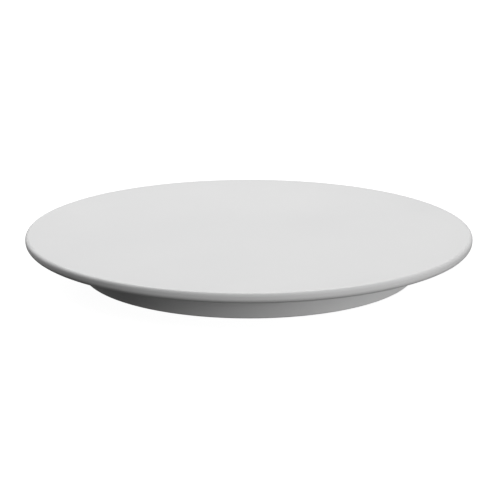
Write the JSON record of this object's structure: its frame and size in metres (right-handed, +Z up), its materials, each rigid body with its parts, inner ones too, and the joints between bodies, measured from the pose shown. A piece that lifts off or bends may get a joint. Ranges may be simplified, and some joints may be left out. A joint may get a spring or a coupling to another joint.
{
  "type": "lazy susan turntable",
  "caption": "Low round serving turntable: a thin lacquered plate with soft edges turns on a hidden ring ball bearing in a smaller round base on rubber feet.",
  "frame": {"origin": "on the table, under the middle of the plate", "axes": "+Z up along the turning axis; -Y is the side seen in the picture; the XZ plane is the plane of symmetry"},
  "size_m": [0.4, 0.4, 0.0386],
  "materials": {
    "white_lacquer": "satin white lacquer on fibreboard",
    "machined_aluminium": "turned, clear anodised",
    "bearing_steel": "polished steel",
    "zinc_steel": "bright zinc plated",
    "dark_steel": "black oxide",
    "brass": "turned",
    "nylon": "natural nylon strip",
    "white_plastic": "fine moulded grain",
    "rubber": "matt moulded"
  },
  "bodies": {
    "base": {"base_ring": "white_lacquer", "base_disc": "white_lacquer", "fixed_race": "machined_aluminium", "fixed_race_screws": "zinc_steel", "ball_fill_plug": "dark_steel", "base_disc_screws": "zinc_steel", "access_plug": "white_plastic", "foot_screws": "zinc_steel", "foot_1": "rubber", "foot_2": "rubber", "foot_3": "rubber", "foot_4": "rubber", "foot_5": "rubber", "foot_6": "rubber"},
    "platter": {"top_plate": "white_lacquer", "plate_inserts": "brass", "turning_race": "machined_aluminium", "turning_race_bolts": "zinc_steel"},
    "ball_ring": {"ball_cage": "nylon", "balls": "bearing_steel"}
  },
  "joints": [
    {"name": "plate_spin", "type": "hinge", "parent": "base", "child": "platter", "pos_m": [0, 0, 0.0246], "axis": [0, 0, 1], "continuous": true},
    {"name": "ball_orbit", "type": "hinge", "parent": "base", "child": "ball_ring", "pos_m": [0, 0, 0.0246], "axis": [0, 0, 1], "continuous": true}
  ],
  "couplings": [
    {"joint": "ball_orbit", "follows": "plate_spin", "ratio": 0.49245}
  ]
}
